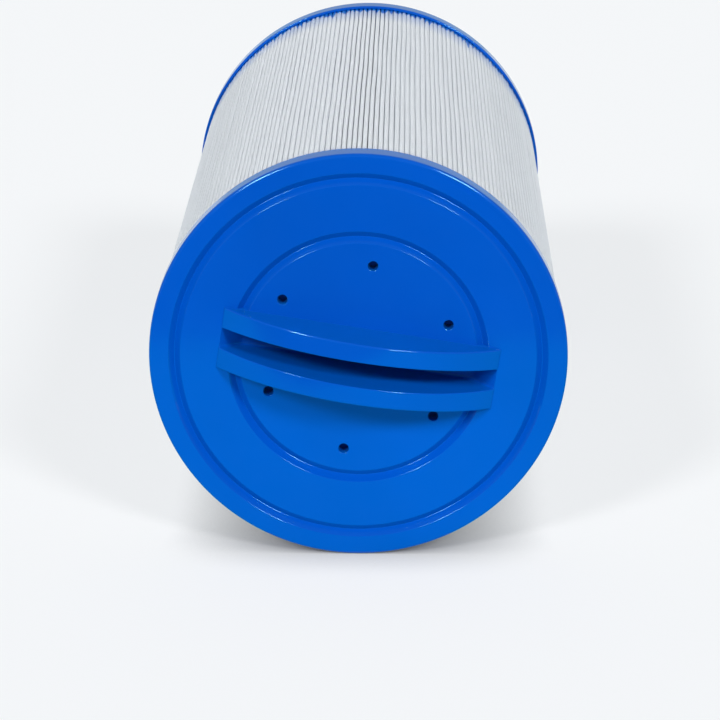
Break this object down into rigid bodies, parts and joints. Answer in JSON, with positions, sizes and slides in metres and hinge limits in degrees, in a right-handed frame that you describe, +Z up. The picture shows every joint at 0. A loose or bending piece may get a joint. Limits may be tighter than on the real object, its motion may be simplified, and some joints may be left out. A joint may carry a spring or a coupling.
{
  "type": "pool and spa filter cartridge",
  "caption": "Round pleated filter cartridge with cast end caps, a half-moon lifting handle on one end and a threaded water outlet on the other.",
  "frame": {"origin": "on the floor under the middle of the length, with the cartridge lying on its side", "axes": "+Y along the length towards the threaded nipple, -Y towards the handle, +Z up, +X to the right when the handle is faced"},
  "size_m": [0.1254, 0.2784, 0.1254],
  "materials": {
    "cast_polyurethane": "glossy cast polyurethane, blue",
    "filter_fabric": "spunbonded polyester sheet, white",
    "seam_bond": "hot-melt bond line, off-white",
    "core_plastic": "moulded plastic, off-white",
    "nipple_plastic": "moulded plastic, white"
  },
  "bodies": {
    "root": {"top_cap": "cast_polyurethane", "pleated_media": "filter_fabric", "media_seam": "seam_bond", "core_tube": "core_plastic", "bottom_cap": "cast_polyurethane", "threaded_nipple": "nipple_plastic"}
  },
  "joints": []
}
